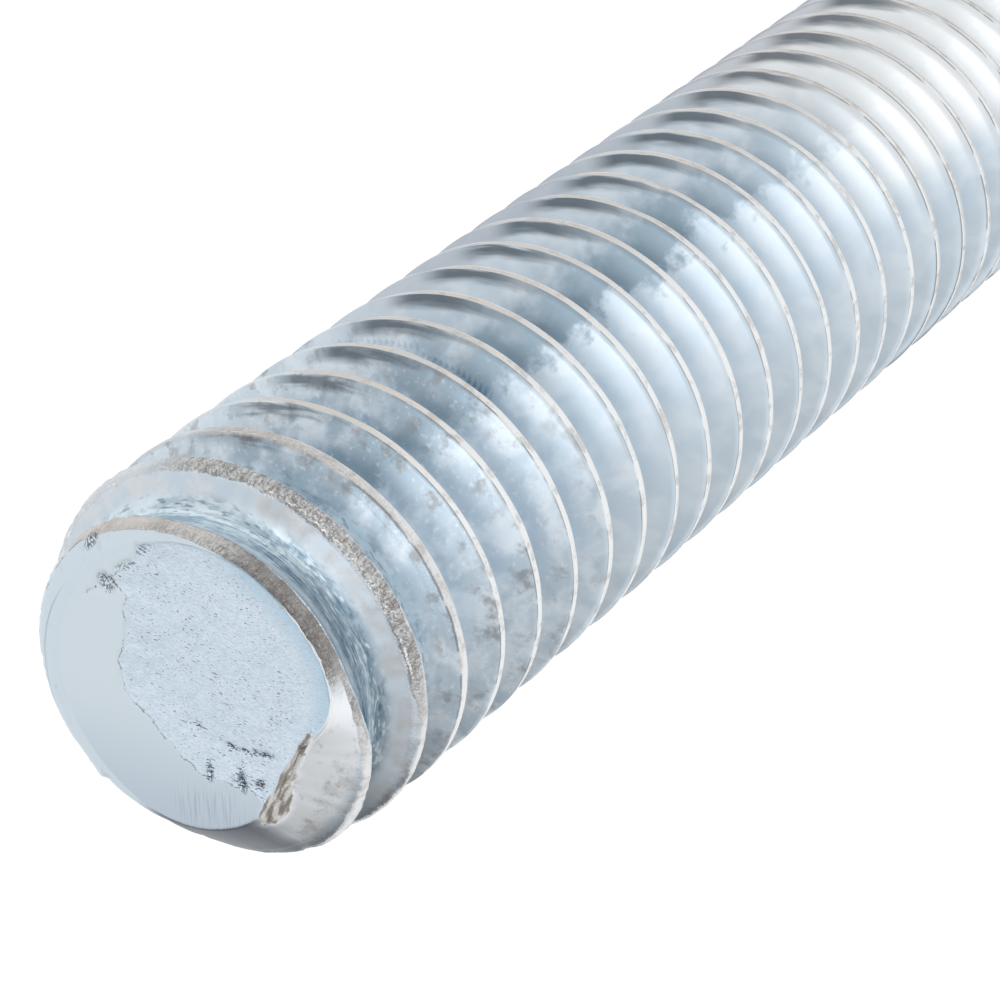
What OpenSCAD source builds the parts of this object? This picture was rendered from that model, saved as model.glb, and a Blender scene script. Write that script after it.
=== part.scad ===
// Short length of zinc-plated metric threaded rod, standing on its chamfered foot.
// The upper end was sheared off, so the thread runs out into a worn taper there.
// Millimetres. Z runs along the rod and the origin is the centre of the foot.

/* [Rod] */
// Length from the foot to the sheared face
rod_len = 30; // [15:1:40]
// Diameter over the crests of the thread
major_d = 5.9; // [5.6:0.05:6.2]

/* [Thread] */
// Distance from one turn to the next
pitch = 1; // [0.8:0.05:1.1]
// Angle between the two flanks of the groove
flank_angle = 60; // [55:1:62]
// Width of the flat land along each crest
crest_w = 0.125; // [0.08:0.005:0.18]
// Width of the groove where its flanks meet the rounded root
root_w = 0.22; // [0.16:0.01:0.28]
// How much deeper the middle of the root is than its shoulders
root_sag = 0.04; // [0.01:0.01:0.06]
// Distance from the sheared face down to the first crest, at the front
crest_start = 0.38; // [0.2:0.02:0.8]

/* [Sheared end] */
// Length of the taper that draws the thread in below the sheared face
lead_len = 1.2; // [0.8:0.05:2.4]
// How far that taper draws the crests in at its top
lead_drop = 0.42; // [0.2:0.02:0.52]
// Width of the rolled-over rim round the sheared face
rim_w = 0.48; // [0.24:0.02:0.6]
// How far the rim falls from the face to its outer edge
rim_drop = 0.2; // [0.1:0.02:0.4]
// Depth of the torn floor below the smooth crescent that the blade left
tear_depth = 0.06; // [0.02:0.01:0.15]
// Height of the torn burr above the crescent
burr_h = 0.1; // [0.04:0.01:0.2]
// Width of the burr across its foot
burr_w = 0.36; // [0.2:0.02:0.5]
// Angle that the burr covers along the rim
burr_arc = 49; // [30:1:70]

/* [Foot] */
// Width and height of the chamfer round the foot
foot_chamfer = 0.7; // [0.3:0.05:1]

/* [Hidden] */

steel = [0.76, 0.80, 0.84];
crest_r = major_d / 2;
lead_r = crest_r - lead_drop;
face_r = lead_r - rim_w;
lead_z = rod_len - lead_len;

// The groove's cutter stands this far outside the crests at its lips, and further along its back
cut_over = 0.05;
cut_back = 0.4;
flank_run = tan(flank_angle / 2);
half_groove = (pitch - crest_w) / 2;
shoulder_r = crest_r - (half_groove - root_w / 2) / flank_run;
root_r = shoulder_r - root_sag;

// Each turn of the groove is cut in this many steps, and it runs on past both ends of the rod
turn_steps = 24;
turns_below = ceil(rod_len / pitch) + 1;
turns_above = 2;
groove_steps = turn_steps * (turns_below + turns_above);
front_angle = -90;
groove_z = rod_len - crest_start - pitch / 2 - pitch * turns_below;

// Inner edge of the torn floor, as [share of the face radius, angle] pairs
tear_edge = [
    [0.99, -27], [0.89, -10], [0.73, -13], [0.63, -3], [0.50, 18], [0.52, 31], [0.46, 59],
    [0.37, 98], [0.49, 135], [0.62, 153], [0.72, 172], [0.83, 179]
];
// On its open side the torn floor runs out past the crests between these angles
tear_open_from = 181;
tear_open_to = 322;
tear_open_steps = 4;
tear_open_r = 2 * crest_r;

// The burr stands on the edge of the face, where the groove runs out of it. It starts a little inside
// that edge and drifts outwards, and its two ends keep a share of its height.
burr_from = 178;
burr_steps = 10;
burr_root = tear_depth + rim_drop;
burr_start_r = 0.94 * face_r;
burr_drift = 0.1 * face_r;
burr_end_share = 0.1;

// Facets of the bar, and steps round the rolled-over rim
bar_facets = 96;
rim_steps = 4;

// A point at radius r, angle a and height z
function polar(r, a, z = 0) = [r * cos(a), r * sin(a), z];

// Radius of the crests at height z, drawn in along the lead
function crest_at(z) =
    crest_r - lead_drop * min(1, max(0, (z - lead_z) / (lead_len - rim_drop)));

// The groove's section round a centre at height z, from its upper lip past the root to its lower one
function groove_section(z) =
    let (
        low_r = crest_at(z - pitch / 2),
        high_r = crest_at(z + pitch / 2),
        lip = half_groove + cut_over * flank_run
    ) [
        [high_r + cut_over, z + lip],
        [shoulder_r, z + half_groove - (high_r - shoulder_r) * flank_run],
        [root_r, z],
        [shoulder_r, z - half_groove + (low_r - shoulder_r) * flank_run],
        [low_r + cut_over, z - lip],
        [crest_at(z) + cut_back, z]
    ];

// Faces of a closed tube whose rings have n points each, two triangles to a cell
function tube_faces(steps, n) = concat(
    [
        for (i = [0:steps - 1], j = [0:n - 1])
        let (
            a = i * n + j,
            b = i * n + (j + 1) % n
        )
        each [[a, b, b + n], [a, b + n, a + n]]
    ],
    [[for (j = [n - 1:-1:0]) j]],
    [[for (j = [0:n - 1]) steps * n + j]]
);

// Plain bar with the foot's chamfer, the lead and the rolled-over rim
module blank() {
    rim = [
        for (i = [0:rim_steps])
        let (a = 90 * i / rim_steps)
        [face_r + rim_w * cos(a), rod_len - rim_drop * (1 - sin(a))]
    ];
    foot = [[0, 0], [crest_r - foot_chamfer, 0], [crest_r, foot_chamfer], [crest_r, lead_z]];
    rotate_extrude($fn = bar_facets)
        polygon(concat(foot, rim, [[0, rod_len]]));
}

// What the shear tore out of the face: a lower floor that is open towards the front
module torn_out() {
    inner = [for (p = tear_edge) polar(p[0] * face_r, p[1])];
    outer = [
        for (i = [0:tear_open_steps])
        polar(tear_open_r, tear_open_from + (tear_open_to - tear_open_from) * i / tear_open_steps)
    ];
    outline = [for (p = concat(inner, outer)) [p[0], p[1]]];
    translate([0, 0, rod_len - tear_depth])
        linear_extrude(tear_depth + burr_h)
            polygon(outline);
}

// Lip of metal that the shear tore up along the rim, highest at its middle
module burr() {
    points = [
        for (i = [0:burr_steps])
        let (
            share = i / burr_steps,
            a = burr_from + burr_arc * share,
            r = burr_start_r + burr_drift * share,
            top = rod_len - burr_root + (burr_root + burr_h) * max(burr_end_share, sin(180 * share))
        )
        each [
            polar(r + burr_w / 2, a, rod_len - burr_root),
            polar(r, a, top),
            polar(r - burr_w / 2, a, rod_len - burr_root)
        ]
    ];
    polyhedron(points, tube_faces(burr_steps, 3));
}

// One helical groove, cut right through both ends
module groove() {
    points = [
        for (i = [0:groove_steps])
        let (
            a = front_angle + 360 * i / turn_steps,
            z = groove_z + pitch * i / turn_steps
        )
        each [for (q = groove_section(z)) polar(q[0], a, q[1])]
    ];
    polyhedron(points, tube_faces(groove_steps, 6), convexity = 10);
}

module threaded_rod()
    color(steel)
        difference() {
            union() {
                difference() {
                    blank();
                    torn_out();
                }
                burr();
            }
            groove();
        }

threaded_rod();
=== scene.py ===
import math

import bpy
import numpy as np
from mathutils import Matrix, Vector


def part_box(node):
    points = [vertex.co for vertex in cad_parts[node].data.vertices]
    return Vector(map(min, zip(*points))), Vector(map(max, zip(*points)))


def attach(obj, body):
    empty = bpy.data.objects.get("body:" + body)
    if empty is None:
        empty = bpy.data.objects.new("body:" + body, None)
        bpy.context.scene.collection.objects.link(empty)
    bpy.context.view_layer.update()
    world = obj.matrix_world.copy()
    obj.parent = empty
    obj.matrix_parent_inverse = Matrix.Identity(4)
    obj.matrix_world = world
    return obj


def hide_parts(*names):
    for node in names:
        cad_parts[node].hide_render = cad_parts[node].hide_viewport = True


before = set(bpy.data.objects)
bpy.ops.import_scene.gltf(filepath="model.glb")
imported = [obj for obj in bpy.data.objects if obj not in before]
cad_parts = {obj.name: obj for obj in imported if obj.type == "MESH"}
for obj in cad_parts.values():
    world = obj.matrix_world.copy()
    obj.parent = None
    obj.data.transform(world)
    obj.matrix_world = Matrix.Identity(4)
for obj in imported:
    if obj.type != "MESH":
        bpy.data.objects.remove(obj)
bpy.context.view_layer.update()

# The rod is worked out in millimetres and made in metres.
MM = 0.001
rod_low, rod_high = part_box("threaded_rod")
BURR_HEIGHT = 0.1
CREST_R = (rod_high.x - rod_low.x) / 2 / MM
ROD_LEN = rod_high.z / MM - BURR_HEIGHT

# Thread, as in the part: one right-hand groove with a flat land between its turns.
PITCH = 1.0
CREST_W = 0.125
ROOT_W = 0.22
ROOT_SAG = 0.04
FLANK_RUN = math.tan(math.radians(30))
HALF_GROOVE = (PITCH - CREST_W) / 2
SHOULDER_R = CREST_R - (HALF_GROOVE - ROOT_W / 2) / FLANK_RUN
ROOT_R = SHOULDER_R - ROOT_SAG
FIRST_LAND = ROD_LEN - 0.38

# Sheared end: the lead draws the crests in, and the rim rolls over to the face.
LEAD_LEN = 1.2
LEAD_DROP = 0.42
LEAD_Z = ROD_LEN - LEAD_LEN
LEAD_R = CREST_R - LEAD_DROP
RIM_W = 0.48
RIM_DROP = 0.2
FACE_R = LEAD_R - RIM_W
TEAR_DEPTH = 0.06
FOOT_CHAMFER = 0.7

# The inner edge of the torn floor, as (share of the face radius, angle) pairs, and two points
# beyond the crests between which it runs out over the front of the rim.
TEAR_EDGE = (
    (0.99, -27), (0.89, -10), (0.73, -13), (0.63, -3), (0.50, 18), (0.52, 31), (0.46, 59),
    (0.37, 98), (0.49, 135), (0.62, 153), (0.72, 172), (0.83, 179),
)
TEAR_RUNS_OUT = ((2.0, 184), (2.4, 252), (2.0, 322))


def ease(low, high, value):
    """0 below low, 1 above high, and a smooth step between them."""
    share = np.clip((value - low) / (high - low), 0, 1)
    return share * share * (3 - 2 * share)


def lumps(x, y, z, size, seed):
    """Smooth random lumps between -1 and 1, of about the given size."""
    cells = 32
    table = np.random.default_rng(seed).uniform(-1, 1, (cells, cells, cells))
    spots = np.stack(np.broadcast_arrays(x, y, z), -1) / size
    first = np.floor(spots).astype(int)
    share = spots - first
    share = share * share * (3 - 2 * share)
    total = 0
    for corner in np.ndindex(2, 2, 2):
        weight = np.prod(np.where(corner, share, 1 - share), axis=-1)
        at = (first + corner) % cells
        total = total + weight * table[at[..., 0], at[..., 1], at[..., 2]]
    return total


def spot_at(radius, turn):
    """x and y of a point at that radius, turned from the front by that share of a full turn."""
    angle = 2 * math.pi * turn
    return radius * np.sin(angle), -radius * np.cos(angle)


def crest_radius(z, turn):
    """Radius of the crests, drawn in along the lead. The last land swells at one side, and at the
    front it is pressed in until it stands straight below the face."""
    swell = 0.115 * np.exp(-(((turn + 0.235) / 0.09) ** 2)) * ease(28.9, 29.2, z)
    crest = CREST_R - LEAD_DROP * np.clip((z - LEAD_Z) / (LEAD_LEN - RIM_DROP), 0, 1) + swell
    pressed = ease(-0.16, -0.07, turn) * (1 - ease(0.12, 0.20, turn)) * ease(29.10, 29.35, z)
    return crest - pressed * np.clip(crest - LEAD_R + 0.03, 0, None)


def soft_min(a, b, blend):
    """The smaller of two values, with the corner between them rounded."""
    share = np.clip(0.5 + 0.5 * (b - a) / blend, 0, 1)
    return b + (a - b) * share - blend * share * (1 - share)


# The heights between which the lands go over from rolled to torn.
TORN_FROM = 27.0
TORN_FULL = 28.8
LEAST_TORN = 0.05


def raggedness(z):
    """How torn the lands are: wholly at the sheared end, and little from the fourth turn down."""
    return LEAST_TORN + (1 - LEAST_TORN) * ease(TORN_FROM, TORN_FULL, z)


# At the sheared end the first land doesn't run up through the face. From this turn on it is held down
# below the rim as a collar, and it fades out where the groove opens again.
COLLAR_TURN = 0.16
COLLAR_FROM = 29.25
COLLAR_FULL = 29.65
COLLAR_FADES = (-0.50, -0.455)


def held_down(turn):
    """How far the collar is held below the plain helix."""
    held = np.clip(turn - COLLAR_TURN, 0, None)
    fades = (turn + 1 - COLLAR_TURN) * (1 - ease(*COLLAR_FADES, turn))
    return np.where(turn > 0, held, fades)


def on_plain_helix(z, turn):
    """The height that a point of the side would have on a plain helix."""
    return z + held_down(turn) * ease(COLLAR_FROM, COLLAR_FULL, z)


def heights_along(level, turns):
    """Heights at which a line of the thread passes the columns."""
    plain = FIRST_LAND + PITCH * (level + turns)
    heights = plain.copy()
    tries = np.linspace(COLLAR_FROM, ROD_LEN + 2 * PITCH, 600)
    for j in np.flatnonzero(plain > COLLAR_FROM):
        heights[j] = np.interp(plain[j], on_plain_helix(tries, turns[j]), tries)
    return heights


# The heights between which the roots go over from plain to drawn out, and the rounding of the
# thread's inner and outer corners.
DRAWN_FROM = 27.4
DRAWN_FULL = 28.6
ROOT_ROUNDING = 0.03
LAND_ROUNDING = 0.02


def thread_radius(z, turn):
    """Radius of the rod's side at height z, at that share of a turn from the front."""
    x, y = spot_at(CREST_R, turn)
    ragged = raggedness(z)
    waver = 0.010 * lumps(x, y, z, 0.55, 1) + 0.007 * ragged * lumps(x, y, z, 0.16, 2)
    rise = (on_plain_helix(z, turn) + waver - FIRST_LAND) / PITCH - turn
    above = PITCH * (rise - np.floor(rise) - 0.5)
    middle = z - above
    lip_r = crest_radius(middle + np.sign(above) * PITCH / 2, turn)
    flank = lip_r - (HALF_GROOVE - np.abs(above)) / FLANK_RUN
    root_half = HALF_GROOVE - (lip_r - SHOULDER_R) * FLANK_RUN
    root = ROOT_R + ROOT_SAG * (above / root_half) ** 2
    groove = -soft_min(-flank, -root, ROOT_ROUNDING)
    side = soft_min(groove, crest_radius(z, turn), LAND_ROUNDING)
    held = held_down(turn)
    side = side - (0.1 * held + 0.8 * held ** 2) * ease(COLLAR_FROM, COLLAR_FULL, z)

    from_land = PITCH * (rise + 0.5 - np.floor(rise + 0.5) - 0.5)
    band_top = 0.065 + 0.075 * ragged
    band = ease(-0.085, -0.055, from_land) * (1 - ease(band_top - 0.015, band_top + 0.02, from_land))
    seam = np.exp(-(((from_land - 0.004) / 0.026) ** 2)) * (1 - ragged)
    crumbs = 0.5 + 0.5 * lumps(x, y, z, 0.05, 3)
    chips = ease(0.25, 0.6, lumps(x, y, z, 0.16, 4))
    along = 2 * math.pi * CREST_R * turn
    strokes = 0.5 + 0.5 * lumps(along * 5.5, from_land, z * 0, 0.2, 5)
    side = side - band * ragged * (0.010 * crumbs + 0.012 * strokes + 0.018 * chips)
    side = side - seam * (0.010 + 0.006 * lumps(x, y, z, 0.4, 6))

    drawn = ease(DRAWN_FROM, DRAWN_FULL, z) * (1 - band)
    ripple = lumps(x * 1.2, y * 1.2, (rise - np.floor(rise)) * 14 + z, 0.5, 7)
    side = side - drawn * 0.003 * (1 + ripple) - 0.0015 * (1 + lumps(x, y, z, 0.35, 8))

    foot = CREST_R - FOOT_CHAMFER + z
    return soft_min(side, foot, ROOT_ROUNDING)


# The rim, at these turns from the front: how far its outer edge lies below the face, where its knee
# lies between the face's edge and its own as shares of the way out and up, the radius at which the flat
# face begins, and how far the rim's inner edge lies below the face. Where the groove opens below the
# burr, the rim is one long slope up from the first land.
RIM_TURN = (
    -0.50, -0.47, -0.42, -0.37, -0.30, -0.24, -0.19, -0.14, -0.10, -0.06, 0.00, 0.05, 0.12, 0.20, 0.30,
    0.40, 0.50,
)
EDGE_BELOW = (
    0.20, 0.21, 0.40, 0.65, 0.60, 0.545, 0.495, 0.445, 0.405, 0.365, 0.305, 0.255, 0.20, 0.20, 0.20,
    0.20, 0.20,
)
KNEE_OUT = (
    0.95, 0.90, 0.80, 0.55, 0.50, 0.50, 0.50, 0.50, 0.60, 0.80, 0.85, 0.90, 0.95, 1.0, 1.0,
    1.0, 0.95,
)
KNEE_UP = (
    1.0, 1.0, 0.95, 0.62, 0.55, 0.52, 0.50, 0.55, 0.75, 0.92, 0.95, 0.97, 1.0, 1.0, 1.0,
    1.0, 1.0,
)
FACE_EDGE_R = (
    2.05, 2.07, 2.10, 2.10, 2.02, 1.93, 1.85, 1.95, 2.42, 2.53, 2.50, 2.48, 2.34, 2.10, 2.02,
    2.03, 2.05,
)
FACE_EDGE_BELOW = (
    0.0, 0.0, 0.0, 0.01, 0.02, 0.03, 0.03, 0.03, 0.05, 0.06, 0.06, 0.05, 0.02, 0.0, 0.0,
    0.0, 0.0,
)


def rim_value(values, turn):
    """A value of the rim at that turn, with the steps between its points rounded."""
    reach = 0.012
    offsets = (-reach, 0, reach)
    return sum(np.interp((turn + o + 0.5) % 1 - 0.5, RIM_TURN, values) for o in offsets) / len(offsets)


def rim_edge(turn):
    """Height of the rim's outer edge."""
    x, y = spot_at(LEAD_R, turn)
    return ROD_LEN - rim_value(EDGE_BELOW, turn) + 0.010 * lumps(x, y, 0 * x, 0.5, 9)


def polar_point(share, degrees):
    """A point of the face, at a share of its radius and an angle from the X axis."""
    angle = math.radians(degrees)
    return np.array((share * FACE_R * math.cos(angle), share * FACE_R * math.sin(angle)))


def distance_inside(x, y, outline, edge_count):
    """Distance from the first edges of a closed outline, positive inside the outline."""
    nearest = np.full(np.shape(x), 9.0)
    inside = np.zeros(np.shape(x), bool)
    for i, start in enumerate(outline):
        end = outline[(i + 1) % len(outline)]
        run = end - start
        if i < edge_count:
            share = np.clip(((x - start[0]) * run[0] + (y - start[1]) * run[1]) / (run @ run), 0, 1)
            gap = np.hypot(x - start[0] - share * run[0], y - start[1] - share * run[1])
            nearest = np.minimum(nearest, gap)
        crosses = (start[1] > y) != (end[1] > y)
        with np.errstate(divide="ignore", invalid="ignore"):
            inside ^= crosses & (x < start[0] + (y - start[1]) * run[0] / run[1])
    return np.where(inside, nearest, -nearest)


def tear_distance(x, y):
    """How far inside the torn floor a point of the face lies, negative on the smooth crescent."""
    edge = [polar_point(*p) for p in TEAR_EDGE]
    outline = edge + [polar_point(*p) for p in TEAR_RUNS_OUT]
    crumbly = 0.035 * lumps(x, y, 0 * x, 0.16, 11) + 0.015 * lumps(x, y, 0 * x, 0.06, 12)
    return distance_inside(x, y, outline, len(edge) - 1) + crumbly


# Deeper scars in the torn floor, as (x, y, length, width, angle, depth).
SCARS = (
    (1.80, -0.20, 0.28, 0.24, 75, 0.045),
    (1.84, -0.62, 0.55, 0.12, 88, 0.013),
    (1.84, -1.10, 0.50, 0.10, 102, 0.010),
    (1.86, 0.12, 0.40, 0.03, 82, 0.018),
    (2.36, -0.42, 0.34, 0.12, 100, 0.018),
    (-0.47, 0.16, 0.16, 0.05, 35, 0.020),
    (-0.95, -0.10, 0.28, 0.06, 30, 0.025),
    (-1.12, -0.25, 0.22, 0.05, 42, 0.025),
    (-1.32, -0.50, 0.36, 0.06, 50, 0.025),
    (-1.08, 0.50, 0.30, 0.09, 140, 0.025),
    (-1.45, 0.12, 0.36, 0.12, 140, 0.030),
    (-1.62, -0.10, 0.20, 0.10, 110, 0.020),
)


def scars(x, y):
    """Depth of the scars at a point of the face, and how scarred it is there."""
    depth = np.zeros(np.shape(x))
    marked = np.zeros(np.shape(x))
    for at_x, at_y, length, width, degrees, deep in SCARS:
        angle = math.radians(degrees)
        along = (x - at_x) * math.cos(angle) + (y - at_y) * math.sin(angle)
        across = (y - at_y) * math.cos(angle) - (x - at_x) * math.sin(angle)
        dent = np.exp(-((2 * along / length) ** 2) - (2 * across / width) ** 2)
        halo = np.exp(-((1.4 * along / length) ** 2) - (1.0 * across / width) ** 2)
        depth = np.maximum(depth, deep * dent)
        marked = np.maximum(marked, halo * min(1, deep / 0.018))
    return depth, marked


# The burr's crest line, as its turn from the front, its radius and its half width.
BURR_TURN = (-0.280, -0.265, -0.245, -0.225, -0.200, -0.170, -0.145, -0.122)
BURR_R = (2.06, 2.02, 1.97, 1.93, 1.84, 1.87, 1.94, 2.06)
BURR_HALF = (0.08, 0.17, 0.21, 0.18, 0.12, 0.09, 0.07, 0.05)


def burr_share(x, y):
    """1 on the burr's crest line, falling to 0 at its two feet."""
    radius = np.hypot(x, y)
    turn = np.arctan2(x, -y) / (2 * math.pi)
    wander = 0.02 * lumps(x, y, 0 * x, 0.15, 27)
    line = np.interp(turn, BURR_TURN, BURR_R) + wander
    half = np.interp(turn, BURR_TURN, BURR_HALF)
    side = (radius - line) / half
    side = np.where(side > 0.35, (side - 0.35) * 2.2, (side - 0.35) * 0.8)
    ends = ease(-0.288, -0.262, turn) * (1 - ease(-0.135, -0.112, turn))
    return np.clip(1 - np.abs(side), 0, 1) * ends


def dress_face(x, y, z, inside):
    """Lowers and roughens points of the end: torn floor, scars and burr. Also gives their marks."""
    tear = np.minimum(tear_distance(x, y), inside + 0.10)
    on_face = ease(-0.03, 0.03, inside)
    grain = 0.005 * lumps(x, y, 0 * x, 0.07, 21) + 0.006 * lumps(x, y, 0 * x, 0.2, 22)
    swell = 0.006 * lumps(x, y, 0 * x, 0.6, 23)
    sunk = 0.014 * ease(-0.02, 0.03, tear) + (TEAR_DEPTH - 0.014) * ease(0.0, 0.55, tear)
    smooth = z - 0.002 * (1 + lumps(x, y, 0 * x, 0.8, 24)) * on_face
    floor = smooth - sunk + (grain + swell) * ease(0.0, 0.05, tear)
    height = smooth + (np.minimum(smooth, floor) - smooth) * on_face
    depth, marked = scars(x, y)
    height = height - depth * on_face
    burr = burr_share(x, y)
    nicks = ease(0.1, 0.5, lumps(x, y, 0 * x, 0.07, 26))
    facets = 0.70 + 0.30 * np.abs(lumps(x, y, 0 * x, 0.12, 25)) - 0.30 * nicks
    height = np.minimum(height + (TEAR_DEPTH + 0.08) * burr * facets, ROD_LEN + 0.95 * BURR_HEIGHT)
    return height, tear, marked, burr, inside


class Skin:
    """The rod's one closed skin: its points with their marks, and its faces."""

    def __init__(self):
        self.points = []
        self.marks = []
        self.faces = []
        self.between = {}

    def add(self, x, y, z, marks=None):
        """Adds points and returns their numbers."""
        first = len(self.points)
        count = len(x)
        self.points.extend(np.stack([x, y, z], -1).tolist())
        plain = [(-1.0, 0.0, 0.0, -1.0)] * count
        self.marks.extend(plain if marks is None else np.stack(marks, -1).tolist())
        return list(range(first, first + count))

    def face(self, *corners):
        """Adds a face, without the corners that fall together and with any point along its edges."""
        loop = []
        for i, corner in enumerate(corners):
            after = corners[(i + 1) % len(corners)]
            if corner == after:
                continue
            loop.append(corner)
            if (corner, after) in self.between:
                loop.append(self.between[corner, after])
        if len(set(loop)) > 2:
            self.faces.append(loop)

    def join_finer(self, ring):
        """Returns every second point of a ring. Faces on the coarser ring still take in the others."""
        for i in range(0, len(ring), 2):
            after = ring[(i + 2) % len(ring)]
            self.between[ring[i], after] = self.between[after, ring[i]] = ring[i + 1]
        return ring[::2]


def turns_of(count):
    """Shares of a turn from the front for evenly spaced columns, with the seam at the back."""
    return np.arange(count) / count - 0.5


def thread_ring(skin, heights, turns):
    """One ring of points on the thread at the given heights."""
    x, y = spot_at(thread_radius(heights, turns), turns)
    return skin.add(x, y, heights)


def thread_band(skin, low_ring, low_z, high_ring, high_z, steps):
    """Fills the side between two rings with rows that follow the helix. steps are the rows' places
    between one land and the next, as shares of the pitch."""
    turns = turns_of(len(low_ring))
    lowest = math.floor((low_z.min() - FIRST_LAND) / PITCH) - 1
    highest = math.ceil((high_z.max() - FIRST_LAND) / PITCH) + 2
    levels = [whole + step for whole in range(lowest, highest) for step in steps]
    rows = []
    snap = 0.006
    for level in levels:
        z = heights_along(level, turns)
        own = (z > low_z + snap) & (z < high_z - snap)
        below = z <= low_z + snap
        row = [low if under else high for under, low, high in zip(below, low_ring, high_ring)]
        if own.any():
            x, y = spot_at(thread_radius(z[own], turns[own]), turns[own])
            for j, number in zip(np.flatnonzero(own), skin.add(x, y, z[own])):
                row[j] = number
        rows.append(row)
    for i, row in enumerate(rows[:-1]):
        above = rows[i + 1]
        for j in range(len(row) - 1):
            skin.face(row[j], row[j + 1], above[j + 1], above[j])
        if i + len(steps) + 1 < len(rows):
            wrapped = rows[i + len(steps)]
            wrapped_above = rows[i + len(steps) + 1]
            skin.face(row[-1], wrapped[0], wrapped_above[0], above[-1])


def close_rings(skin, outer, inner, facing_up):
    """Joins two rings of a flat end. The inner one may have half as many points."""
    step = len(outer) // len(inner)
    for j in range(len(inner)):
        after = (j + 1) % len(inner)
        if step == 1:
            loops = [(outer[j], outer[after], inner[after], inner[j])]
        else:
            low, mid, high = outer[2 * j], outer[2 * j + 1], outer[(2 * j + 2) % len(outer)]
            loops = [(low, mid, inner[j]), (mid, inner[after], inner[j]), (mid, high, inner[after])]
        for loop in loops:
            skin.face(*(loop if facing_up else loop[::-1]))


# Where the rows of the thread lie between one land and the next, close together at the land's edges.
FINE_STEPS = (
    0, 0.03, 0.055, 0.075, 0.10, 0.13, 0.165, 0.21, 0.26, 0.32, 0.38, 0.44, 0.50, 0.57, 0.64, 0.74,
    0.84, 0.92, 0.945, 0.972,
)
MIDDLE_STEPS = (0, 0.045, 0.07, 0.11, 0.18, 0.26, 0.34, 0.40, 0.50, 0.61, 0.78, 0.93, 0.96)
PLAIN_STEPS = (0, 0.06, 0.14, 0.26, 0.38, 0.50, 0.62, 0.78, 0.94)
FINE_COLUMNS = 320
FINE_FROM = 24.0
MIDDLE_FROM = 13.0


# Rings of points on the rim and on the face. Where points would come closer to each other than the
# finest spacing, a ring takes half as many, but none goes on halving below the fewest points.
RIM_RINGS = 14
FACE_RINGS = 48
FINEST_SPACING = 0.0225
FEWEST_POINTS = 20


def make_end(skin, ring, turns, edge_z):
    """The sheared end: the rolled rim, the crescent, the torn floor and the burr."""
    edge_r = thread_radius(edge_z, turns)
    face_r = rim_value(FACE_EDGE_R, turns)
    face_z = ROD_LEN - rim_value(FACE_EDGE_BELOW, turns)
    knee_r = face_r + (edge_r - face_r) * rim_value(KNEE_OUT, turns)
    knee_z = edge_z + (face_z - edge_z) * rim_value(KNEE_UP, turns)
    rim_length = np.hypot(edge_r - knee_r, edge_z - knee_z) + np.hypot(knee_r - face_r, knee_z - face_z)
    crumbly = ease(-0.12, -0.06, turns) * (1 - ease(0.13, 0.20, turns))
    for i in range(1, RIM_RINGS + 1):
        share = i / RIM_RINGS
        at_edge, at_knee, at_face = (1 - share) ** 2, 2 * share * (1 - share), share ** 2
        z = at_edge * edge_z + at_knee * knee_z + at_face * face_z
        crumbs = 1 + lumps(*spot_at(CREST_R, turns), z, 0.07, 31)
        radius = at_edge * edge_r + at_knee * knee_r + at_face * face_r
        radius = radius - 0.03 * at_knee * crumbly * crumbs
        x, y = spot_at(radius, turns)
        height, *marks = dress_face(x, y, z, (share - 1) * rim_length)
        inner = skin.add(x, y, height, marks)
        close_rings(skin, ring, inner, True)
        ring = inner
    for i in range(1, FACE_RINGS):
        share = 1 - i / FACE_RINGS
        if 2 * math.pi * FACE_R * share / len(ring) < FINEST_SPACING and len(ring) > FEWEST_POINTS:
            turns, face_r, face_z = turns[::2], face_r[::2], face_z[::2]
        x, y = spot_at(face_r * share, turns)
        z = ROD_LEN - (ROD_LEN - face_z) * share ** 4
        height, *marks = dress_face(x, y, z, face_r * (1 - share))
        inner = skin.add(x, y, height, marks)
        close_rings(skin, ring, inner, True)
        ring = inner
    skin.face(*ring)


def make_foot(skin, ring, turns):
    """The plain flat foot."""
    for radius in (1.9, 1.4, 0.9, 0.45):
        turns = turns[::2]
        x, y = spot_at(radius, turns)
        inner = skin.add(x, y, 0 * x)
        close_rings(skin, ring, inner, False)
        ring = inner
    skin.face(*ring[::-1])


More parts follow.
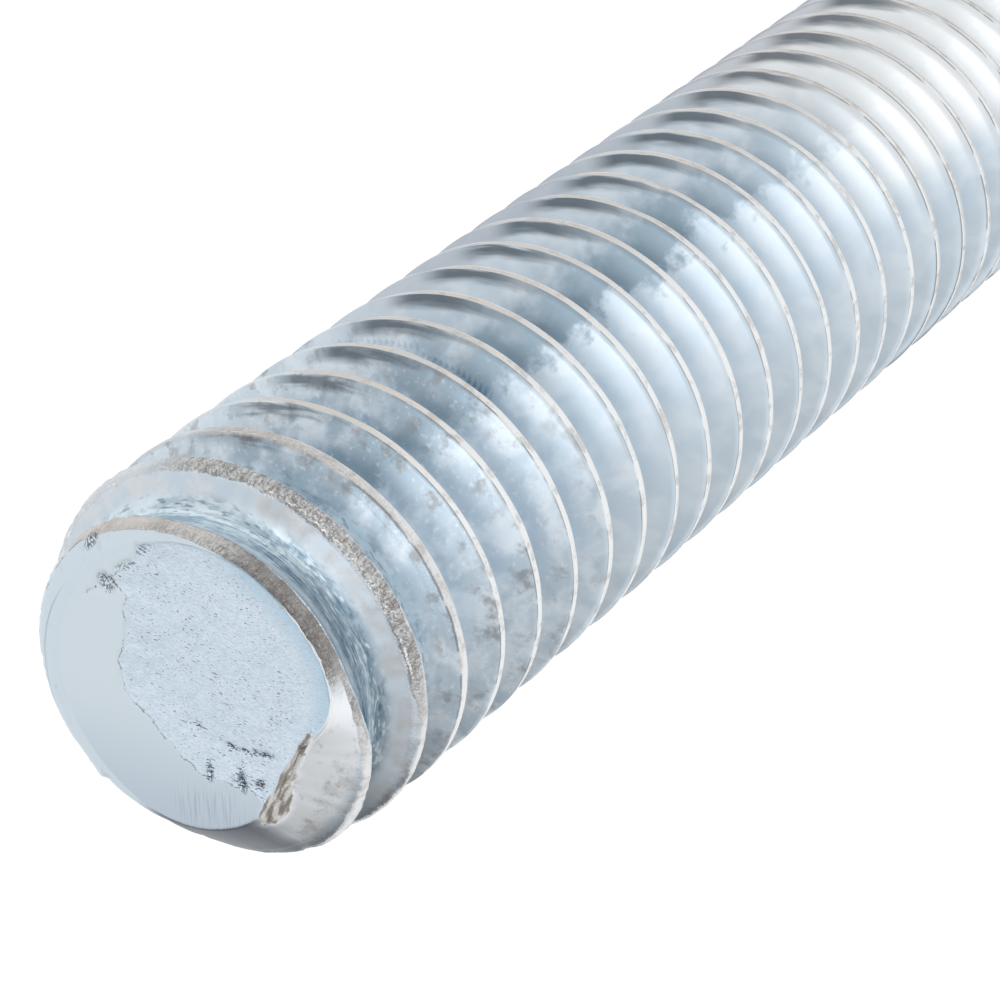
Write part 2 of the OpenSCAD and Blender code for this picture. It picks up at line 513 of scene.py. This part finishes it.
def make_rod():
    """The whole rod as one mesh."""
    skin = Skin()
    turns = turns_of(FINE_COLUMNS)
    half_turns = turns[::2]
    edge_z = rim_edge(turns)
    fine_z = np.full(FINE_COLUMNS, FINE_FROM)
    middle_z = np.full(len(half_turns), MIDDLE_FROM)
    foot_z = np.zeros(len(half_turns))
    edge_ring = thread_ring(skin, edge_z, turns)
    fine_ring = thread_ring(skin, fine_z, turns)
    middle_ring = thread_ring(skin, middle_z, half_turns)
    foot_ring = thread_ring(skin, foot_z, half_turns)
    thread_band(skin, fine_ring, fine_z, edge_ring, edge_z, FINE_STEPS)
    coarse_ring = skin.join_finer(fine_ring)
    thread_band(skin, middle_ring, middle_z, coarse_ring, fine_z[::2], MIDDLE_STEPS)
    thread_band(skin, foot_ring, foot_z, middle_ring, middle_z, PLAIN_STEPS)
    make_end(skin, edge_ring, turns, edge_z)
    make_foot(skin, foot_ring, half_turns)

    mesh = bpy.data.meshes.new("zinc_plated_rod")
    mesh.from_pydata((np.array(skin.points) * MM).tolist(), [], skin.faces)
    marks = np.array(skin.marks)
    for column, name in enumerate(("tear", "scarred", "burr", "inside")):
        layer = mesh.attributes.new(name, "FLOAT", "POINT")
        layer.data.foreach_set("value", marks[:, column].astype(np.float32))
    mesh.polygons.foreach_set("use_smooth", [True] * len(mesh.polygons))
    mesh.update()
    rod = bpy.data.objects.new("zinc_plated_rod", mesh)
    bpy.context.scene.collection.objects.link(rod)
    return rod


class Wire:
    """One output of a shader node. A sum written on it adds the Math nodes that work it out."""

    def __init__(self, bench, socket):
        self.bench = bench
        self.socket = socket

    def out(self, name):
        """Another output of the same node."""
        return Wire(self.bench, self.socket.node.outputs[name])

    def math(self, operation, *values, clamp=False):
        settings = {"operation": operation, "use_clamp": clamp}
        return self.bench.node("ShaderNodeMath", settings, dict(enumerate(values)))

    def __add__(self, other):
        return self.math("ADD", self, other)

    __radd__ = __add__

    def __sub__(self, other):
        return self.math("SUBTRACT", self, other)

    def __rsub__(self, other):
        return self.math("SUBTRACT", other, self)

    def __mul__(self, other):
        return self.math("MULTIPLY", self, other)

    __rmul__ = __mul__

    def __truediv__(self, other):
        return self.math("DIVIDE", self, other)

    def __pow__(self, other):
        return self.math("POWER", self, other)

    def __abs__(self):
        return self.math("ABSOLUTE", self)

    def clamp(self):
        """Held between 0 and 1."""
        return self.math("ADD", self, 0.0, clamp=True)

    def fraction(self):
        return self.math("FRACT", self)

    def ease(self, low, high):
        """0 at low, 1 at high and a smooth step between them."""
        sockets = {"Value": self, "From Min": low, "From Max": high}
        return self.bench.node("ShaderNodeMapRange", {"interpolation_type": "SMOOTHSTEP"}, sockets)

    def within(self, low, full_from, full_to, high):
        """0 below low and above high, 1 in the middle, and smooth steps between them."""
        return self.ease(low, full_from) * self.ease(high, full_to)


class Bench:
    """The nodes of one material or of the studio's surroundings, and the one way to add them."""

    def __init__(self, tree):
        self.tree = tree
        tree.nodes.clear()

    def node(self, kind, settings=None, sockets=None, out=0):
        made = self.tree.nodes.new(kind)
        for name, value in (settings or {}).items():
            setattr(made, name, value)
        for name, value in (sockets or {}).items():
            self.plug(made.inputs[name], value)
        return Wire(self, made.outputs[out]) if made.outputs else made

    def plug(self, socket, value):
        if isinstance(value, Wire):
            self.tree.links.new(value.socket, socket)
        else:
            socket.default_value = value

    def blend(self, share, under, over):
        """Two colours mixed by a share."""
        sockets = {0: share, 6: under, 7: over}
        return self.node("ShaderNodeMix", {"data_type": "RGBA"}, sockets, out=2)

    def between(self, share, under, over):
        """Two values mixed by a share."""
        return self.node("ShaderNodeMix", {"data_type": "FLOAT"}, {0: share, 2: under, 3: over})

    def washed(self, colour, share, code):
        """A colour with the one of a screen code laid over it, by a share."""
        return self.blend(share, colour, tint(code))

    def stretch(self, vector, scale, degrees=0):
        """A vector turned about Z and then scaled on each axis."""
        sockets = {"Vector": vector, "Rotation": (0, 0, math.radians(degrees))}
        turned = self.node("ShaderNodeMapping", {"vector_type": "TEXTURE"}, sockets)
        return self.node("ShaderNodeVectorMath", {"operation": "MULTIPLY"}, {0: turned, 1: scale})

    def clouds(self, vector, per_mm, detail=2.0, roughness=0.5, warp=0.0):
        """Soft noise with about that many lumps to a millimetre, between 0 and 1."""
        sockets = {"Vector": vector, "Scale": per_mm, "Detail": detail}
        sockets |= {"Roughness": roughness, "Distortion": warp}
        return self.node("ShaderNodeTexNoise", {"noise_dimensions": "3D"}, sockets)

    def mark(self, name):
        """A mark that the mesh carries."""
        return self.node("ShaderNodeAttribute", {"attribute_name": name}, out=2)


def tint(code):
    """A colour as light, from its six-figure screen code."""
    parts = [int(code[i:i + 2], 16) / 255 for i in (0, 2, 4)]
    return tuple(p / 12.92 if p <= 0.04045 else ((p + 0.055) / 1.055) ** 2.4 for p in parts) + (1.0,)


class Finish:
    """A surface: its colour, how rough it is and how metallic."""

    def __init__(self, colour, rough, metal):
        self.colour = colour
        self.rough = rough
        self.metal = metal

    def under(self, over, share):
        """This finish with another laid over it, by a share."""
        bench = share.bench
        return Finish(
            bench.blend(share, self.colour, over.colour),
            bench.between(share, self.rough, over.rough),
            bench.between(share, self.metal, over.metal),
        )


class ThreadPlace:
    """Where a point of the surface lies on the rod, as wires in millimetres."""

    def __init__(self, bench):
        sockets = {0: bench.node("ShaderNodeTexCoord").out("Object"), "Scale": 1 / MM}
        self.spot = bench.node("ShaderNodeVectorMath", {"operation": "SCALE"}, sockets)
        apart = bench.node("ShaderNodeSeparateXYZ", None, {0: self.spot})
        self.x = apart
        self.y = apart.out("Y")
        self.z = apart.out("Z")
        self.radius = (self.x * self.x + self.y * self.y) ** 0.5
        self.turn = self.x.math("ARCTAN2", self.x, -1 * self.y) / (2 * math.pi)
        held = self.turn.math("MAXIMUM", self.turn - COLLAR_TURN, 0.0)
        plain_z = self.z + held * self.z.ease(COLLAR_FROM, COLLAR_FULL)
        self.rise = (plain_z - FIRST_LAND) / PITCH - self.turn
        self.from_land = ((self.rise + 0.5).fraction() - 0.5) * PITCH
        self.bench = bench

    def distance_to(self, centre):
        """Distance from a point."""
        sockets = {0: self.spot, 1: centre}
        return self.bench.node("ShaderNodeVectorMath", {"operation": "DISTANCE"}, sockets, out=1)

    def streaks(self, around, across, detail=2.0):
        """Noise that is drawn out along the groove. It has no seam anywhere."""
        angle = self.rise * (2 * math.pi)
        up = angle.math("SINE", angle) * (across * PITCH / (2 * math.pi)) + self.z
        sockets = {0: self.x * around, 1: self.y * around, 2: up}
        drawn_out = self.bench.node("ShaderNodeCombineXYZ", None, sockets)
        return self.bench.clouds(drawn_out, 1.0, detail, 0.6)


# Brown smears below some lands: their turn from the front, their height and their reach.
SMEARS = ((0.062, 27.55, 0.42), (0.058, 22.25, 0.36), (0.078, 22.55, 0.22), (-0.012, 23.6, 0.26))
SMEAR_R = 2.7
# Depth of the finest roughness, which only the shading shows.
RELIEF_DEPTH = 0.006


class Plating:
    """The rod's skin: bright zinc over rolled steel, with torn brown lands near the sheared end. Each
    method lays its finishes over those of the methods before it."""

    def __init__(self, bench):
        self.bench = bench
        self.place = ThreadPlace(bench)
        self.inside = bench.mark("inside")
        self.tear = bench.mark("tear")
        self.scarred = bench.mark("scarred")
        self.burr = bench.mark("burr")

        # Noises that several finishes share.
        spots = self.place.spot
        self.clouds = bench.clouds(spots, 1.6, 2.0, 0.55, 0.3)
        self.freckles = bench.clouds(spots, 12.0, 1.0, 0.6)
        self.fine = bench.clouds(spots, 32.0, 1.0, 0.55)
        self.stain = bench.clouds(spots, 3.4, 3.0, 0.65)
        self.across = bench.clouds(bench.stretch(spots, (28.0, 28.0, 4.0)), 1.0, 1.0, 0.6)
        self.folds = bench.clouds(bench.stretch(spots, (3.0, 16.0, 8.0), 112), 1.0, 1.0)
        self.grain = bench.clouds(bench.stretch(spots, (13.0, 44.0, 10.0), 40), 1.0, 2.0, 0.55)
        self.streaks = self.place.streaks(1.0, 22.0)

        # Shares that tell the parts of the rod apart.
        self.torn_end = self.place.z.ease(TORN_FROM, TORN_FULL)
        self.first_land = self.place.z.ease(29.10, 29.30)
        self.side_only = self.inside.ease(-0.72, -0.92)
        self.rolled = self.place.z.ease(29.25, 29.32) * self.inside.ease(-0.90, -0.74)
        turn = self.place.turn
        self.front = turn.ease(-0.17, -0.08)
        self.front_rim = turn.within(-0.10, -0.065, 0.24, 0.29)
        self.pale_ring = 2.2 * turn.math("MAXIMUM", turn - 0.05, 0.0)

        self.zinc = self.bright_zinc()
        self.paint_dark_reflections_below_lands()
        self.draw_out_roots()
        land, rim_lip_highlight = self.tear_lands()
        self.roll_rim(land, rim_lip_highlight)
        self.shear_face()
        self.tear_up_burr()
        self.relief = self.fine_relief()

    def lay(self, colour, rough, metal, share):
        """Lays a finish over what is there, by a share. Its colour is a screen code or a wire."""
        colour = tint(colour) if isinstance(colour, str) else colour
        self.zinc = self.zinc.under(Finish(colour, rough, metal), share)

    def bright_zinc(self):
        """Pale blue and grey zinc, cloudy and dirtier on the turns near the sheared end, with painted
        shade at its sides and beside the brightest line, and a painted highlight at the far end.
        """
        bench, place, turn = self.bench, self.place, self.place.turn
        clouds, freckles, stain = self.clouds, self.freckles, self.stain
        cloudy = place.z.ease(21.5, 26.0) * (1 - place.z.ease(28.3, 28.8))
        colour = bench.blend(clouds.ease(0.36, 0.64), tint("D3E1EC"), tint("E1EBF3"))
        dirt = (1 - (clouds + 0.3 * (stain - 0.5) + 0.2 * (freckles - 0.5)).ease(0.36, 0.62)) * cloudy
        dirt = dirt * (0.6 - 0.3 * turn.ease(0.05, 0.0) - 0.5 * turn.ease(0.13, 0.20))
        colour = bench.washed(colour, dirt.clamp(), "8AA0B0")

        # Painted shade as a slate zone beside the brightest line of the rod, and a painted highlight that
        # makes the far end paler except on its right side.
        root_lag = 0.02 * abs(place.from_land).ease(0.25, 0.45)
        slate_shade_turn = turn - root_lag + 0.08 * (clouds - 0.5) + 0.06 * (stain - 0.5)
        slate_shade = slate_shade_turn.within(0.026, 0.048, 0.060, 0.120) * place.z.ease(28.4, 27.6)
        slate_shade = slate_shade * (1 - 0.35 * place.z.ease(18.5, 15.0))
        colour = bench.washed(colour, slate_shade * (0.95 - 0.5 * dirt), "9CB0BE")
        # Painted highlight on the far turns.
        far_highlight = place.z.ease(15.5, 11.5) * turn.ease(-0.07, -0.02)
        colour = bench.washed(colour, far_highlight * 0.8, "FAFCFD")

        # Pale specks, and brown stains and smears below the lands.
        specks = freckles.ease(0.60, 0.74) * cloudy
        colour = bench.washed(colour, specks * 0.35, "F0F6FA")
        off_land = place.from_land.ease(0.02, 0.06)
        below_land = place.from_land.ease(0.34, 0.12) * off_land
        soiled = stain.ease(0.50, 0.70) * cloudy * (0.1 + 0.9 * below_land)
        colour = bench.washed(colour, soiled * 0.6, "8A8480")
        for smear_turn, height, reach in SMEARS:
            centre = (*spot_at(SMEAR_R, smear_turn), height)
            smear = (place.distance_to(centre) / reach + 0.8 * (stain - 0.5)).ease(1.0, 0.35) * off_land
            colour = bench.washed(colour, smear * 0.6, "7C736E")

        # Painted shade along the left side of the far turns, and painted shade along the right side,
        # deepest near the sheared end, where stain noise makes it blotchy.
        left_side_shade = turn.within(0.15, 0.20, 0.28, 0.36) * place.z.ease(25.5, 20.5)
        colour = bench.washed(colour, left_side_shade * 0.6, "ADB3BD")
        right_shade_band = turn.within(-0.46, -0.40, -0.30, -0.20)
        near_end_shade = turn.within(-0.46, -0.40, -0.22, -0.14) * place.z.ease(26.5, 28.0)
        right_side_shade = right_shade_band * 0.22 + (0.45 + 0.33 * stain.ease(0.42, 0.60)) * near_end_shade
        colour = bench.washed(colour, right_side_shade, "7F8389")
        return Finish(colour, 0.36 + 0.14 * clouds, 1.0)

    def paint_dark_reflections_below_lands(self):
        """Painted dark reflections, as streaky smudges just below the lands at one side, thinning out
        along the thread.
        """
        place, turn, streaks = self.place, self.place.turn, self.streaks
        thickness = 0.02 + 0.085 * turn.ease(0.04, 0.14)
        reach = (place.from_land - 0.050 + 0.10 * (streaks - 0.5)) / thickness
        dark_reflection = reach.within(0.0, 0.3, 0.6, 1.4) * turn.within(0.05, 0.14, 0.165, 0.20)
        dark_reflection = dark_reflection * place.z.ease(28.4, 27.6)
        near_turns = place.z.ease(24.0, 26.5)
        dark_reflection = dark_reflection * (1 - near_turns * (0.12 + 0.55 * streaks.ease(0.44, 0.58)))
        # Painted reflection: dark grey laid where the lands would mirror the dark surroundings.
        self.lay("4E5963", 0.4, 1.0, dark_reflection * 0.85)

    def draw_out_roots(self):
        """Roots that the dies drew out, where the thread runs into the lead, and the flanks above, with
        painted shade in the roots near the front and on the right flank.
        """
        bench, place, turn, stain = self.bench, self.place, self.place.turn, self.stain
        hair = place.streaks(5.0, 80.0, 1.0)
        drawn = abs(place.from_land).ease(0.20, 0.36) * place.z.ease(26.8, 28.6)
        wide = (self.streaks + 0.4 * (stain - 0.5) + 0.3 * (self.freckles - 0.5)).ease(0.38, 0.62)
        colour = bench.blend(wide, tint("93ABBC"), tint("DCEDF6"))
        # Painted shade darkens the roots at the front and right near the sheared end; they are paler
        # towards the left side.
        root_shade = turn.ease(0.06, 0.0) * place.z.ease(28.0, 28.5)
        colour = bench.washed(colour, root_shade * 0.6, "6F8494")
        colour = bench.washed(colour, turn.ease(0.04, 0.10) * 0.4, "E6F2F9")
        colour = bench.washed(colour, hair.ease(0.56, 0.68) * 0.55, "4F5F6C")
        colour = bench.washed(colour, hair.ease(0.44, 0.34) * 0.5, "EEF8FD")
        self.lay(colour, 0.34 + 0.15 * self.streaks, 1.0, drawn * self.side_only)

        upper_flank = place.from_land.within(0.10, 0.16, 0.22, 0.34)
        upper_flank = upper_flank * place.z.ease(28.0, 28.6) * self.side_only
        colour = bench.blend(stain.ease(0.4, 0.6), tint("D0DDE8"), tint("DDE2E6"))
        dull = 0.32 + 0.25 * stain.ease(0.38, 0.66) - 0.25 * turn.ease(-0.04, -0.12)
        colour = bench.washed(colour, turn.ease(0.13, 0.05) * dull, "8E9296")
        self.lay(colour, 0.45, 1.0, upper_flank)
        # Painted shade along the right side of the flanks near the sheared end.
        right_flank_shade = turn.within(-0.46, -0.40, -0.27, -0.19) * place.z.ease(27.9, 28.3)
        self.lay("757C84", 0.45, 1.0, 0.75 * right_flank_shade * self.side_only)

    def tear_lands(self):
        """Lands: brown-grey, crumbly and scratched across at the torn end, pale and thin further down,
        with painted highlights along their edges and painted shade at their feet.
        """
        bench, place, turn = self.bench, self.place, self.place.turn
        stain, fine, inside = self.stain, self.fine, self.inside
        torn_end, first, front, rolled = self.torn_end, self.first_land, self.front, self.rolled

        # Where they are: a band on the side, and beside the face a band that goes up over the rim.
        wander = 0.06 * torn_end * (stain - 0.5)
        edge = place.from_land + (0.004 + 0.030 * torn_end) * (fine - 0.5) + wander
        top = 0.054 + 0.070 * torn_end * (0.35 + 0.65 * front)
        bottom = -0.075 + 0.045 * first * turn.ease(0.09, 0.02) - 0.05 * first * turn.ease(0.07, 0.13)
        on_side = (edge - bottom).ease(-0.007, 0.007) * (edge - top).ease(0.014, 0.0) * (1 - rolled)
        rim_gap = inside + self.pale_ring + 0.10 * (stain - 0.5) + 0.03 * (fine - 0.5)
        land = on_side + rim_gap.ease(0.02, 0.0) * rolled * self.front_rim

        # Their colours, torn and pale.
        strokes = (0.6 * self.across + 0.4 * self.folds + 0.5 * (fine - 0.5)).ease(0.34, 0.66)
        torn = bench.blend(strokes, tint("8D8D8C"), tint("C8C9C9"))
        outer_side = inside.ease(-0.26, -0.36) * first * turn.ease(-0.12, -0.06)
        torn = bench.washed(torn, outer_side * 0.5, "D3D1CE")
        torn = bench.washed(torn, stain.ease(0.46, 0.62) * 0.4, "7B7470")
        brownest = turn.within(-0.09, -0.04, 0.04, 0.10) * first
        torn = bench.washed(torn, brownest * 0.6, "6C6764")
        torn = bench.washed(torn, fine.ease(0.58, 0.68) * (0.4 - 0.2 * brownest), "EDEDEA")
        # The pale lands are whiter towards the front, a painted highlight, and grey-beige towards the
        # left.
        pale = bench.blend(turn.ease(-0.02, 0.10), tint("F1F3F4"), tint("D5D1CD"))
        pale = bench.washed(pale, stain.ease(0.50, 0.66) * 0.5, "B7B1AB")
        brown = torn_end * (0.12 + 0.88 * front) * (1 - 0.55 * turn.ease(0.12, 0.20))
        brown = brown * (1 - 0.4 * first * turn.ease(0.06, 0.11))
        shown = land * (1 - 0.65 * turn.ease(0.14, 0.20) * (1 - first))
        shown = shown * (1 - 0.85 * first * turn.ease(-0.24, -0.28))
        self.lay(bench.blend(brown, pale, torn), 0.45, 0.9, shown)

        # Painted highlights as bright lips along their edges, and a painted shade line at the foot of
        # each.
        far_lip_highlight = 0.8 - 0.6 * torn_end * turn.ease(-0.02, 0.04)
        far_lip_highlight = abs(edge + 0.064).ease(0.016, 0.005) * far_lip_highlight * (1 - first)
        near_lip_highlight = abs(edge - top + 0.012).ease(0.010, 0.003) * torn_end * (1 - rolled)
        broken = stain.ease(0.52, 0.60) * front
        self.lay("F8F9F8", 0.42, 0.7, (far_lip_highlight + near_lip_highlight * broken).clamp())
        # Painted highlight along the front lip of the rim.
        rim_lip_highlight = (inside + 0.10 * (stain - 0.5)).ease(-0.145, -0.115) * rolled
        rim_lip_highlight = rim_lip_highlight * turn.within(-0.12, -0.09, -0.01, 0.02)
        shade = abs(edge - top - 0.008).ease(0.012, 0.003) * self.clouds.ease(0.56, 0.48) * (1 - rolled)
        shade = shade * turn.ease(0.12, 0.04) * (0.65 - 0.65 * torn_end * (1 - front))
        self.lay("6E6E6F", 0.5, 0.9, shade)
        return land, rim_lip_highlight

    def roll_rim(self, land, rim_lip_highlight):
        """Rolled rim and the long slope under the burr, with painted shade at its right side and low edge,
        and a painted highlight along its front lip.
        """
        bench, place, turn = self.bench, self.place, self.place.turn
        stain, inside, rolled = self.stain, self.inside, self.rolled
        stained = (stain + 0.3 * (self.freckles - 0.5)).ease(0.56, 0.72)
        sloped = turn.within(-0.44, -0.38, -0.08, -0.02)
        colour = bench.blend(sloped, tint("D8E4ED"), tint("F1F5F9"))
        colour = bench.washed(colour, stained * (0.15 + 0.25 * sloped), "A8A29B")
        # Painted shade on the rim's right side, and along its low edge there, where stains deepen it.
        far_side_rim_shade = turn.within(-0.44, -0.40, -0.30, -0.25)
        colour = bench.washed(colour, far_side_rim_shade * 0.9, "5C646F")
        low_rim_edge_shade = (place.z + 0.15 * (stain - 0.5)).ease(29.66, 29.50) * turn.ease(-0.19, -0.25)
        colour = bench.washed(colour, low_rim_edge_shade * (0.55 + 0.3 * stained), "6A7078")
        edge_spots = inside.ease(-0.42, -0.54) * (stain + 0.3 * (self.fine - 0.5)).ease(0.44, 0.60)
        edge_spots = edge_spots * turn.within(-0.28, -0.24, -0.16, -0.14)
        colour = bench.washed(colour, edge_spots * 0.2, "7A756F")
        self.lay(colour, 0.40, 1.0, rolled * (1 - land.clamp()))
        # Painted highlight along the rim's front lip.
        self.lay("FBFCFC", 0.5, 0.25, rim_lip_highlight)

        # The line that the blade left beside the crescent, and the rim's broken dark outline.
        line_r = 2.24 + 1.0 * (turn - 0.33) + 0.04 * (stain - 0.5)
        blade_line = abs(place.radius - line_r).ease(0.020, 0.006) * turn.ease(0.27, 0.33)
        outline = abs(inside + 0.42 + 0.06 * (stain - 0.5)).ease(0.022, 0.008) * stain.ease(0.46, 0.54)
        outline = outline * turn.ease(0.20, 0.25) * (1 - 0.6 * turn.ease(0.36, 0.42))
        self.lay("8795A1", 0.45, 1.0, (0.4 * blade_line + 0.8 * outline) * rolled)

    def shear_face(self):
        """Sheared face: a smooth crescent with painted shade across it, and a grained torn floor with dark
        specks, cracks and pits.
        """
        bench, place, turn = self.bench, self.place, self.place.turn
        stain, fine, inside = self.stain, self.fine, self.inside
        face = (inside + 0.03 * (fine - 0.5)).ease(-0.004, 0.012)
        # Painted shade: the smooth face goes darker towards +Y and -X.
        face_shade_slope = (0.8 * (place.y - place.x)).ease(0.2, 2.6)
        smooth = bench.blend(face_shade_slope, tint("DAE5ED"), tint("C3D1DD"))
        drag = bench.clouds(bench.stretch(place.spot, (1.5, 42.0, 1.0), 135), 1.0, 1.0)
        dragged = drag.ease(0.50, 0.66) * turn.within(-0.42, -0.36, -0.30, -0.27)
        smooth = bench.washed(smooth, dragged * place.radius.ease(1.2, 1.7) * 0.35, "8FA0B0")
        self.lay(smooth, 0.40, 1.0, face)

        torn = (self.tear + 0.05 * (fine - 0.5)).ease(-0.004, 0.010) * face
        floor = bench.blend(self.grain.ease(0.34, 0.60), tint("CFDFED"), tint("E3EEF7"))
        blue_edge = (1 - inside.ease(0.02, 0.45)) * turn.within(-0.15, -0.10, 0.04, 0.10)
        floor = bench.washed(floor, blue_edge * 0.6, "B4D3E6")
        self.lay(floor, 0.5, 1.0, torn)
        bar = 0.66 - 0.13 * self.scarred - 0.05 * self.clouds.ease(0.30, 0.70) - 0.12 * (stain - 0.5)
        dash = self.grain.ease(bar, bar + 0.03)
        crack = abs(self.tear + 0.05 * (fine - 0.5) + 0.03 * (self.freckles - 0.5)).ease(0.013, 0.003)
        crack = crack * (stain + 0.5 * (fine - 0.5)).ease(0.44, 0.54) * face * inside.ease(0.1, 0.3)
        pits = self.scarred.ease(0.45, 0.85) * fine.ease(0.44, 0.54)
        dark = (dash * torn * (1 - 0.7 * blue_edge) + 0.9 * crack + 0.8 * pits).clamp()
        self.lay("3E4956", 0.6, 0.8, dark * (0.62 + 0.38 * self.scarred))

    def tear_up_burr(self):
        """The burr: grey and beige folds along it, and brown where it starts."""
        bench, folds, fine = self.bench, self.folds, self.fine
        colour = bench.blend((folds + 0.3 * (fine - 0.5)).ease(0.38, 0.60), tint("A19C96"), tint("DCDAD6"))
        colour = bench.washed(colour, folds.ease(0.40, 0.32) * 0.4, "6B655F")
        brown = self.place.turn.ease(-0.17, -0.14) * self.freckles.ease(0.45, 0.55)
        colour = bench.washed(colour, brown * 0.6, "5F5954")
        self.lay(colour, 0.55, 0.8, (self.burr + 0.2 * (fine - 0.5)).ease(0.10, 0.22))

    def fine_relief(self):
        """Height of the finest roughness: on the lands, the torn floor and the burr."""
        near_land = abs(self.place.from_land - 0.03).ease(0.13, 0.10) * self.torn_end * self.side_only
        beside_face = (self.inside + self.pale_ring).ease(0.02, 0.0) * self.rolled * self.front_rim
        relief = (near_land + beside_face) * (1.4 * self.across + self.fine)
        relief = relief + self.tear.ease(0.0, 0.02) * (0.8 * self.grain + 0.4 * self.fine)
        return relief + 1.4 * self.burr * self.fine


def zinc_plating():
    """The material of the rod."""
    material = bpy.data.materials.new("zinc_plated_steel")
    material.use_nodes = True
    bench = Bench(material.node_tree)
    skin = Plating(bench)
    sockets = {"Strength": 1.0, "Distance": RELIEF_DEPTH * MM, "Height": skin.relief}
    bump = bench.node("ShaderNodeBump", None, sockets)
    zinc = skin.zinc
    sockets = {"Base Color": zinc.colour, "Roughness": zinc.rough, "Metallic": zinc.metal, "Normal": bump}
    surface = bench.node("ShaderNodeBsdfPrincipled", None, sockets)
    bench.node("ShaderNodeOutputMaterial", None, {"Surface": surface})
    return material


def pale_bench():
    """The floor: white to the camera and in reflections, but with the rod's own shadow on it."""
    material = bpy.data.materials.new("pale_bench")
    material.use_nodes = True
    bench = Bench(material.node_tree)
    rays = bench.node("ShaderNodeLightPath")
    mirrored = rays.math("MAXIMUM", rays.out("Is Glossy Ray"), rays.out("Is Transmission Ray"))
    seen = rays.math("MAXIMUM", rays, mirrored)
    lit = bench.node("ShaderNodeBsdfDiffuse", None, {"Color": tint("F2F2F2")})
    dim = bench.node("ShaderNodeBsdfDiffuse", None, {"Color": (0.42, 0.42, 0.42, 1)})
    glow = bench.node("ShaderNodeEmission", None, {"Color": (1, 1, 1, 1), "Strength": 0.66})
    shown = bench.node("ShaderNodeAddShader", None, {0: dim, 1: glow})
    mixed = bench.node("ShaderNodeMixShader", None, {0: seen, 1: lit, 2: shown})
    bench.node("ShaderNodeOutputMaterial", None, {"Surface": mixed})
    return material


def make_floor():
    """A plain pale floor under the foot."""
    half = 1.5
    mesh = bpy.data.meshes.new("bench_top")
    corners = [(-half, -half, 0), (half, -half, 0), (half, half, 0), (-half, half, 0)]
    mesh.from_pydata(corners, [], [(0, 1, 2, 3)])
    floor = bpy.data.objects.new("bench_top", mesh)
    bpy.context.scene.collection.objects.link(floor)
    mesh.materials.append(pale_bench())
    return floor


def soft_patch(bench, direction, toward, inner, outer):
    """1 within inner degrees of a direction, falling smoothly to 0 at outer degrees."""
    sockets = {0: direction, 1: Vector(toward).normalized()}
    facing = bench.node("ShaderNodeVectorMath", {"operation": "DOT_PRODUCT"}, sockets, out=1)
    return facing.ease(math.cos(math.radians(outer)), math.cos(math.radians(inner)))


def light_studio():
    """White surroundings with dark flags beside them, and one soft box overhead."""
    world = bpy.data.worlds.new("studio")
    world.use_nodes = True
    bpy.context.scene.world = world
    bench = Bench(world.node_tree)
    direction = bench.node("ShaderNodeTexCoord")
    height = bench.node("ShaderNodeSeparateXYZ", None, {0: direction}).out("Z")
    bright_top = soft_patch(bench, direction, (-0.05, -0.34, 0.94), 12, 28)
    flag_side = soft_patch(bench, direction, (0.45, -0.17, 0.876), 11, 20)
    flag_left = soft_patch(bench, direction, (-0.70, 0.35, 0.60), 12, 46)
    flag_back = soft_patch(bench, direction, (-0.50, 0.84, 0.20), 8, 28)
    flag_front = soft_patch(bench, direction, (0.05, -1.0, 0.05), 20, 60) * height.ease(0.62, 0.25)
    rays = bench.node("ShaderNodeLightPath")
    strength = 0.90 + 0.38 * bright_top - 0.30 * flag_side - 0.22 * flag_left - 0.45 * flag_back
    strength = strength - 0.14 * flag_front
    strength = strength.math("MAXIMUM", strength, 0.12)
    strength = strength + rays * (1 - strength)
    sky = bench.node("ShaderNodeBackground", None, {"Color": (1, 1, 1, 1), "Strength": strength})
    bench.node("ShaderNodeOutputWorld", None, {"Surface": sky})

    lamp = bpy.data.lights.new("soft_box", "AREA")
    lamp.shape = "DISK"
    lamp.size = 0.16
    lamp.energy = 0.045
    box = bpy.data.objects.new("soft_box", lamp)
    aim = Vector((0, 0, ROD_LEN * MM))
    box.location = aim + 0.22 * Vector((-0.02, -0.30, 0.95))
    box.rotation_euler = (aim - box.location).to_track_quat("-Z", "Y").to_euler()
    bpy.context.scene.collection.objects.link(box)


# The photograph looks down on the sheared end and is turned so that the rod runs up to the right.
CAMERA_PLACE = Vector((0.0, -0.0369, 0.06448))
CAMERA_HEADING = 90.97
CAMERA_FALL = 48.73
CAMERA_ROLL = 128.5
LENS_MM = 134.8
SENSOR_MM = 36.0


def place_camera():
    """A camera at the photograph's viewing angle."""
    camera = bpy.data.cameras.new("camera")
    camera.lens = LENS_MM
    camera.sensor_width = SENSOR_MM
    camera.clip_start = 0.001
    holder = bpy.data.objects.new("camera", camera)
    heading = math.radians(CAMERA_HEADING)
    fall = math.radians(CAMERA_FALL)
    level_reach = math.cos(fall)
    ahead = Vector((math.cos(heading) * level_reach, math.sin(heading) * level_reach, -math.sin(fall)))
    level = ahead.to_track_quat("-Z", "Y").to_matrix().to_4x4()
    rolled = level @ Matrix.Rotation(-math.radians(CAMERA_ROLL), 4, "Z")
    holder.matrix_world = Matrix.Translation(CAMERA_PLACE) @ rolled
    bpy.context.scene.collection.objects.link(holder)
    bpy.context.scene.camera = holder


rod = make_rod()
rod.data.materials.append(zinc_plating())
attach(rod, "root")
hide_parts("threaded_rod")
make_floor()
light_studio()
place_camera()
bpy.context.scene.view_settings.view_transform = "Standard"
